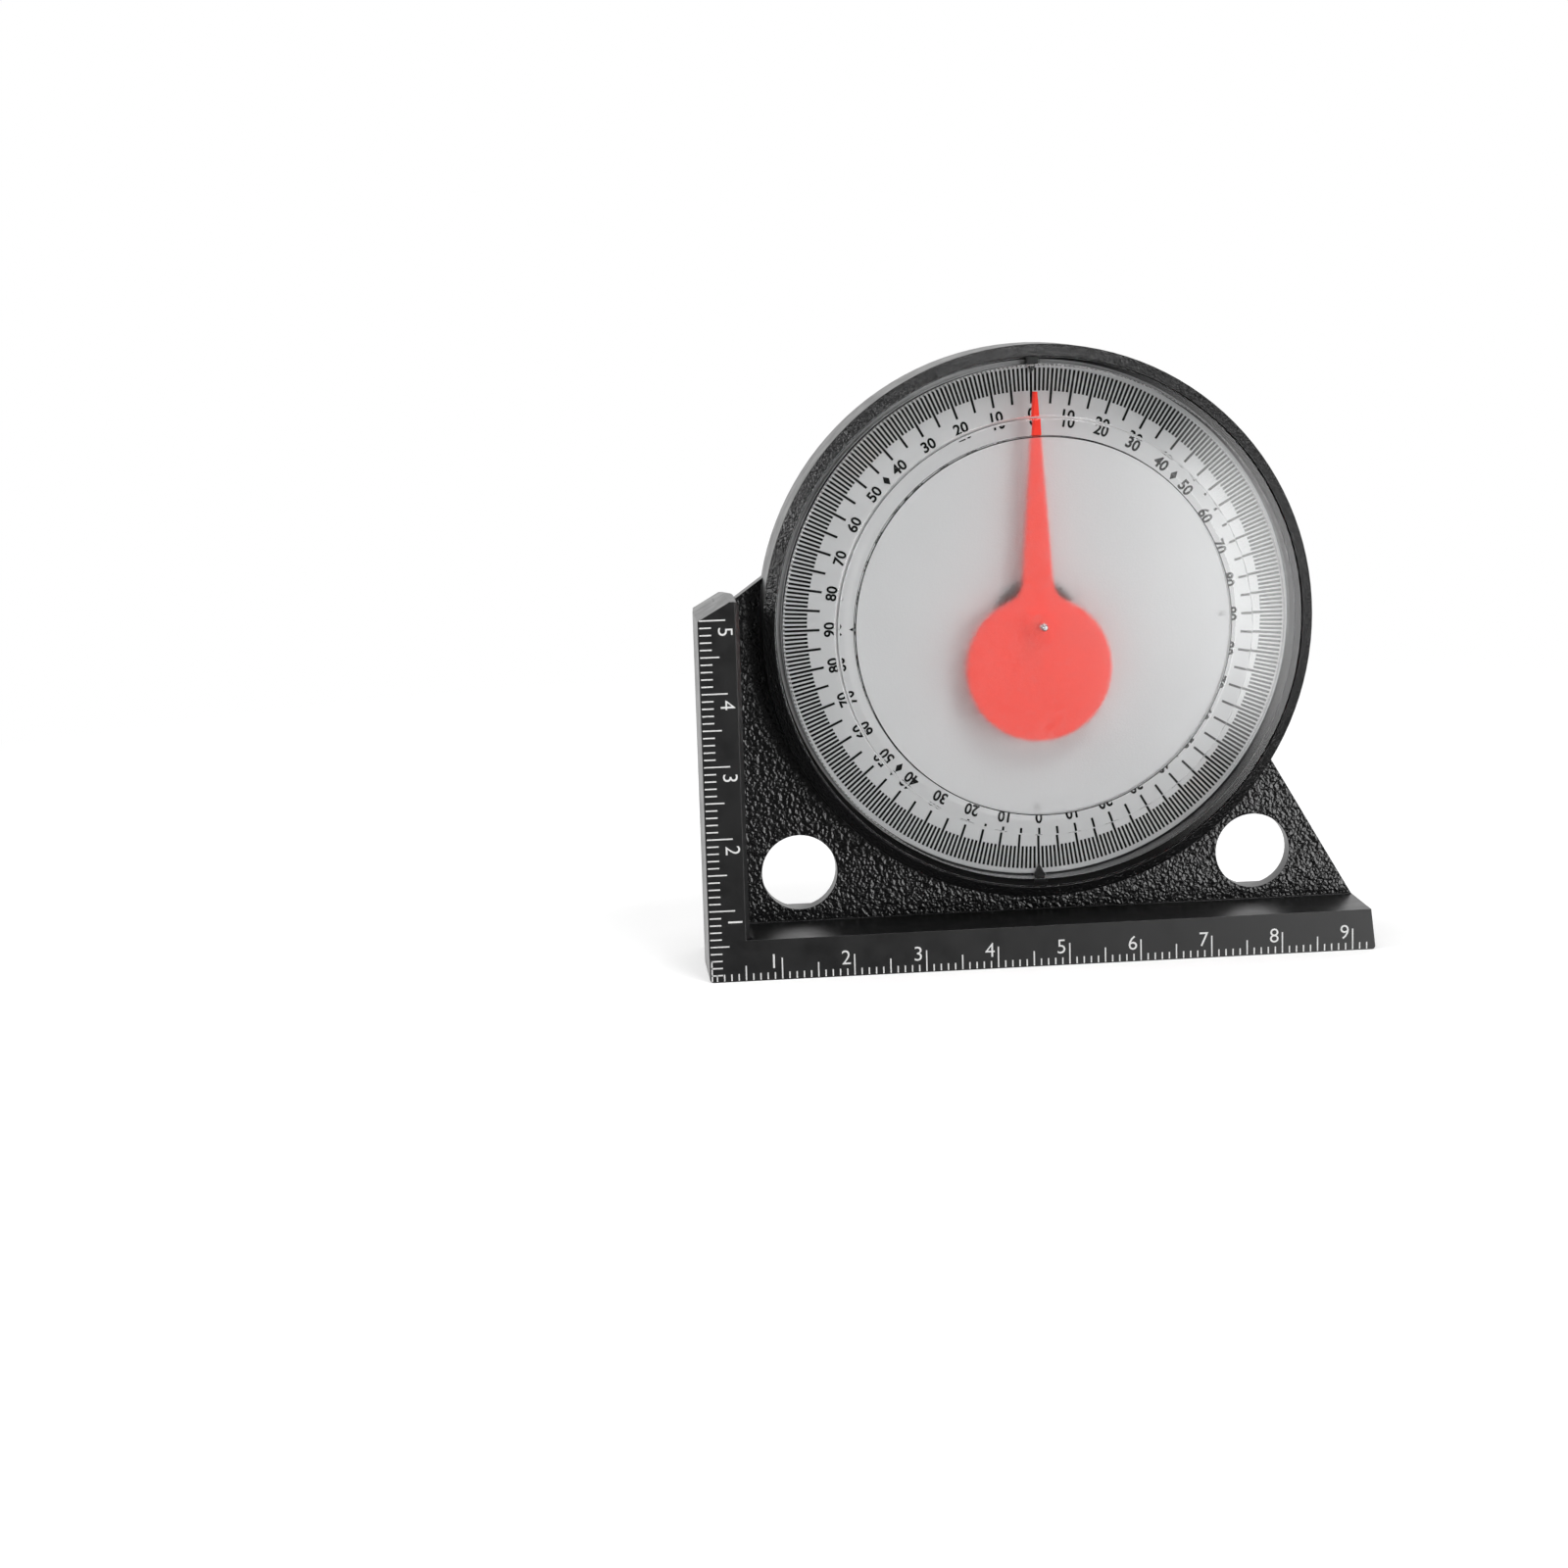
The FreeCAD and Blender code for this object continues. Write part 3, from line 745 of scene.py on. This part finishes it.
def dialMarks():
    s = dialPrint
    low = dialShape["face"] - s["inkSink"]
    high = dialShape["face"] + s["inkHeight"]
    bm = bmesh.new()
    for degree in range(360):
        long = degree % 5 == 0
        half = (s["longWidth"] if long else s["tickWidth"]) / 2.0
        inner = s["longInner"] if long else s["shortInner"]
        addBar(bm, inner, s["outer"], half, degree, low, high)
    for degree in range(0, 360, 90):
        half = s["arrowWidth"] / 2.0
        neck = s["arrowOuter"] - s["arrowWidth"]
        head = [(neck, -half, degree), (s["arrowOuter"], 0.0, degree), (neck, half, degree)]
        thinPatch(bm, head, low, high)
        addBar(bm, s["arrowInner"], neck, s["arrowLine"] / 2.0, degree, low, high)
    for degree in range(45, 360, 90):
        middle = s["numberRadius"]
        half = s["diamondLong"] / 2.0
        side = s["diamondWide"] / 2.0
        thinPatch(bm, [(middle - half, 0.0, degree), (middle, -side, degree),
                       (middle + half, 0.0, degree), (middle, side, degree)], low, high)
    return meshFrom(bm, "dialMarks")


def dialNumbers():
    s = dialPrint
    bm = bmesh.new()
    for degree in range(0, 360, 10):
        value = degree % 180
        value = 180 - value if value > 90 else value
        mesh = textMesh(str(value), s["numberSize"], s["numberWeight"], s["inkHeight"] + s["inkSink"])
        middle = dialPoint(s["numberRadius"], degree, dialShape["face"] + s["inkHeight"] / 2.0)
        stand = Matrix.Rotation(math.radians(90), 4, "X")
        roll = Matrix.Rotation(math.radians(degree), 4, "Y")
        mesh.transform(Matrix.Translation(middle) @ roll @ stand)
        bm.from_mesh(mesh)
    return meshFrom(bm, "dialNumbers")


def dialProfile():
    s = dialShape
    back = s["face"] - s["thickness"]
    return softened([
        (s["hole"], s["face"], s["edgeRound"], 0), (s["radius"], s["face"], s["edgeRound"], 0),
        (s["radius"], back, 0, 0), (s["hole"], back, 0, 0)], arcSteps=2)


dialMesh = lathe(dialProfile(), dialShape["steps"], "dialDisc")
dialPiece = addPiece("dialDisc", dialMesh, "housing", ["dial"])
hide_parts("dial_plate")
addPiece("dialMarks", dialMarks(), "housing", ["ink"])
addPiece("dialNumbers", dialNumbers(), "housing", ["ink"])
print("dial printed")


ruler = {
    "inkHeight": 0.02,
    "inkSink": 0.01,
    "tickWidth": 0.18,
    "baseFoot": 0.15,
    "baseTicks": (1.1, 2.2, 3.1),     # millimetre, half and whole centimetre
    "baseFirst": 0.3,                 # the first tick stands a little in from the corner
    "baseLast": 92,
    "baseNumbers": 9,
    "sideFoot": 0.2,
    "sideTicks": (1.8, 2.8, 3.75),
    "sideFirst": 1,
    "sideLast": 50,
    "sideNumbers": 5,
    "numberSize": 2.9,
    "numberWeight": -0.015,
    "baseNumberLift": 2.55,
    "baseNumberBack": 1.15,
    "sideNumberIn": 3.6,
    "sideNumberDrop": 1.6,
}


def rulerPatch(bm, x0, z0, x1, z1):
    # a thin printed bar on the ruled face, measured in mm from its outer lower corner
    s = ruler
    near = frontLow.y - s["inkHeight"] * mm
    far = frontLow.y + s["inkSink"] * mm
    xs = (frontLow.x + x0 * mm, frontLow.x + x1 * mm)
    zs = (frontLow.z + z0 * mm, frontLow.z + z1 * mm)
    verts = [bm.verts.new((x, y, z)) for y in (near, far) for z in zs for x in xs]
    sides = ((0, 1, 3, 2), (4, 6, 7, 5), (0, 2, 6, 4), (1, 5, 7, 3), (0, 4, 5, 1), (2, 3, 7, 6))
    for side in sides:
        bm.faces.new([verts[number] for number in side])


def tickKind(count):
    # 2 for a whole centimetre, 1 for a half, 0 for a millimetre
    if count % 10 == 0:
        return 2
    if count % 5 == 0:
        return 1
    return 0


def rulerMarks():
    s = ruler
    half = s["tickWidth"] / 2.0
    bm = bmesh.new()
    for count in range(0, s["baseLast"] + 1):
        middle = max(count, s["baseFirst"])
        rulerPatch(bm, middle - half, s["baseFoot"], middle + half, s["baseTicks"][tickKind(count)])
    for count in range(s["sideFirst"], s["sideLast"] + 1):
        rulerPatch(bm, s["sideFoot"], count - half, s["sideTicks"][tickKind(count)], count + half)
    return meshFrom(bm, "rulerMarks")


def addRulerNumber(bm, value, across, up, turn):
    s = ruler
    mesh = textMesh(str(value), s["numberSize"], s["numberWeight"], s["inkHeight"])
    middle = Vector((frontLow.x + across * mm, frontLow.y, frontLow.z + up * mm))
    mesh.transform(Matrix.Translation(middle) @ turn)
    bm.from_mesh(mesh)


def rulerNumbers():
    s = ruler
    bm = bmesh.new()
    stand = Matrix.Rotation(math.radians(90), 4, "X")
    quarter = Matrix.Rotation(math.radians(90), 4, "Y")
    for value in range(1, s["baseNumbers"] + 1):
        addRulerNumber(bm, value, 10 * value - s["baseNumberBack"], s["baseNumberLift"], stand)
    for value in range(1, s["sideNumbers"] + 1):
        addRulerNumber(bm, value, s["sideNumberIn"], 10 * value - s["sideNumberDrop"], quarter @ stand)
    return meshFrom(bm, "rulerNumbers")


addPiece("rulerMarks", rulerMarks(), "housing", ["rulerInk"])
addPiece("rulerNumbers", rulerNumbers(), "housing", ["rulerInk"])
print("rulers printed")


pointerShape = {
    "length": 31.4,
    "tipHalf": 0.25,
    "spread": 0.07,            # half-width gained per mm towards the root
    "discDrop": 6.15,
    "discRadius": 10.0,
    "fillet": 3.2,
    "face": 6.2,
    "back": 3.97,
    "thickness": 1.2,
    "discInset": 0.12,         # the thick disc stands this far in from the rounded edge
    "discSink": 0.4,
    "discRound": 0.2,
    "hubRadius": 1.7,
    "hubRise": 1.6,
    "hubStart": 0.3,
    "hubRound": 0.15,
    "edgeRound": 0.15,
    "filletSteps": 8,
    "arcSteps": 72,
    "discSteps": 144,
    "hubSteps": 64,
}


def pointerOutline():
    # the needle's straight sides run by fillets into the disc; half is drawn and then mirrored
    s = pointerShape
    disc = Vector((0.0, -s["discDrop"]))
    tip = Vector((s["tipHalf"], s["length"]))
    down = Vector((s["spread"], -1.0)).normalized()
    out = Vector((1.0, s["spread"])).normalized()
    start = tip + out * s["fillet"] - disc
    reach = s["discRadius"] + s["fillet"]
    along = start.dot(down)
    travel = -along - math.sqrt(along ** 2 - start.length_squared + reach ** 2)
    centre = disc + start + down * travel
    first = centre - out * s["fillet"]
    toDisc = (disc - centre).normalized()
    points = [tip, first]
    turn = (-out).angle_signed(toDisc)
    for step in range(1, s["filletSteps"] + 1):
        spoke = (-out) * s["fillet"]
        spoke.rotate(Matrix.Rotation(-turn * step / s["filletSteps"], 2))
        points.append(centre + spoke)
    meet = points[-1] - disc
    startAngle = math.atan2(meet.y, meet.x)
    sweep = startAngle + math.pi / 2.0
    for step in range(1, s["arcSteps"] + 1):
        angle = startAngle - sweep * step / s["arcSteps"]
        points.append(disc + Vector((math.cos(angle), math.sin(angle))) * s["discRadius"])
    mirrored = [Vector((-point.x, point.y)) for point in reversed(points[:-1])]
    return points + mirrored


def pointerMesh():
    s = pointerShape
    bm = bmesh.new()
    ring = []
    for point in pointerOutline():
        place = (pivot.x + point.x * mm, -s["face"] * mm, pivot.z + point.y * mm)
        ring.append(bm.verts.new(place))
    front = bm.faces.new(ring)
    rim = list(front.edges)
    grown = bmesh.ops.extrude_face_region(bm, geom=[front])
    moved = [item for item in grown["geom"] if isinstance(item, bmesh.types.BMVert)]
    bmesh.ops.translate(bm, verts=moved, vec=(0.0, s["thickness"] * mm, 0.0))
    bmesh.ops.recalc_face_normals(bm, faces=bm.faces)
    bmesh.ops.bevel(
        bm, geom=rim, offset=s["edgeRound"] * mm, segments=3, affect="EDGES", clamp_overlap=True)
    blade = meshFrom(bm, "blade")
    discFace = s["face"] - s["discSink"]
    discRadius = s["discRadius"] - s["discInset"]
    discProfile = softened([
        (0.0, discFace, 0, 0), (discRadius, discFace, 0, 0),
        (discRadius, s["back"], s["discRound"], 0), (0.0, s["back"], 0, 0)])
    disc = lathe(discProfile, s["discSteps"], "disc", axisZ=pivot.z - s["discDrop"] * mm)
    hubTop = s["face"] + s["hubRise"]
    hubFoot = s["back"] + s["hubStart"]
    hubProfile = softened([
        (0.0, hubTop, 0, 0), (s["hubRadius"], hubTop, s["hubRound"], 0),
        (s["hubRadius"], hubFoot, 0, 0), (0.0, hubFoot, 0, 0)])
    hub = lathe(hubProfile, s["hubSteps"], "hub")
    return combined("pointer", blade, [disc, hub], "UNION")


pointerPiece = addPiece(
    "pointerNeedle", pointerMesh(), "swinging_pointer", ["pointer"], crease=35.0)
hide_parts("pointer")


pinShape = {
    "radius": 0.5,
    "tipRadius": 0.33,
    "tipRound": 0.08,
    "front": 10.99,
    "shoulder": 10.16,
    "chamfer": 0.17,
    "back": 0.89,
    "backRound": 0.1,
    "steps": 48,
}


def pinMesh():
    s = pinShape
    profile = softened([
        (0.0, s["front"], 0, 0),
        (s["tipRadius"], s["front"], s["tipRound"], 0),
        (s["tipRadius"], s["shoulder"], 0, 0),
        (s["radius"], s["shoulder"] - s["chamfer"], 0, 0),
        (s["radius"], s["back"], s["backRound"], 0),
        (0.0, s["back"], 0, 0)])
    return lathe(profile, s["steps"], "pointerPin")


pinPiece = addPiece("pointerPin", pinMesh(), "swinging_pointer", ["steel"])
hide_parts("pivot_pin")
print("pointer made")


screwShape = {
    "headRadius": 1.6,
    "headHeight": 1.3,
    "headRound": 0.5,
    "shankRadius": 1.0,
    "pointRadius": 0.3,
    "pointLength": 0.8,
    "length": 8.0,
    "seat": 3.0,               # from the parting plane to the underside of the head
    "slotWidth": 0.42,
    "slotReach": 0.95,
    "slotDepth": 0.75,
    "apart": 8.0,              # no two screws are nearer than this
    "steps": 48,
}


def screwMesh(x, z):
    s = screwShape
    top = -(s["seat"] + s["headHeight"])
    end = s["length"] - s["seat"]
    profile = softened([
        (0.0, top, 0, 0),
        (s["headRadius"], top, s["headRound"], 0),
        (s["headRadius"], -s["seat"], 0, 0),
        (s["shankRadius"], -s["seat"], 0, 0),
        (s["shankRadius"], end - s["pointLength"], 0, 0),
        (s["pointRadius"], end, 0, 0),
        (0.0, end, 0, 0)])
    body = lathe(profile, s["steps"], "screw", axisX=x, axisZ=z)
    half = s["slotWidth"] / 2.0 * mm
    reach = s["slotReach"] * mm
    deep = s["slotDepth"] * mm
    y = (s["seat"] + s["headHeight"]) * mm
    bars = [
        blockMesh((x - half, y - deep, z - reach), (x + half, y + mm, z + reach), "slot"),
        blockMesh((x - reach, y - deep, z - half), (x + reach, y + mm, z + half), "slot"),
    ]
    return combined("screw", body, bars, "DIFFERENCE")


def screwPlaces():
    # the screws stand in four separate lumps of the CAD group
    mesh = frame["nodes"]["case_screws"].data
    lumps = []
    for vert in mesh.vertices:
        here = Vector((vert.co.x, vert.co.z))
        for lump in lumps:
            if (lump["sum"] / lump["count"] - here).length < screwShape["apart"] * mm:
                lump["low"] = Vector((min(lump["low"].x, here.x), min(lump["low"].y, here.y)))
                lump["high"] = Vector((max(lump["high"].x, here.x), max(lump["high"].y, here.y)))
                lump["sum"] += here
                lump["count"] += 1
                break
        else:
            lumps.append({"sum": here.copy(), "count": 1, "low": here.copy(), "high": here.copy()})
    return [(lump["low"] + lump["high"]) / 2.0 for lump in lumps]


def allScrews():
    bm = bmesh.new()
    for place in screwPlaces():
        bm.from_mesh(screwMesh(place.x, place.y))
    return meshFrom(bm, "caseScrews")


screwPiece = addPiece("caseScrews", allScrews(), "housing", ["zinc"], crease=35.0)
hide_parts("case_screws")
print("screws made")
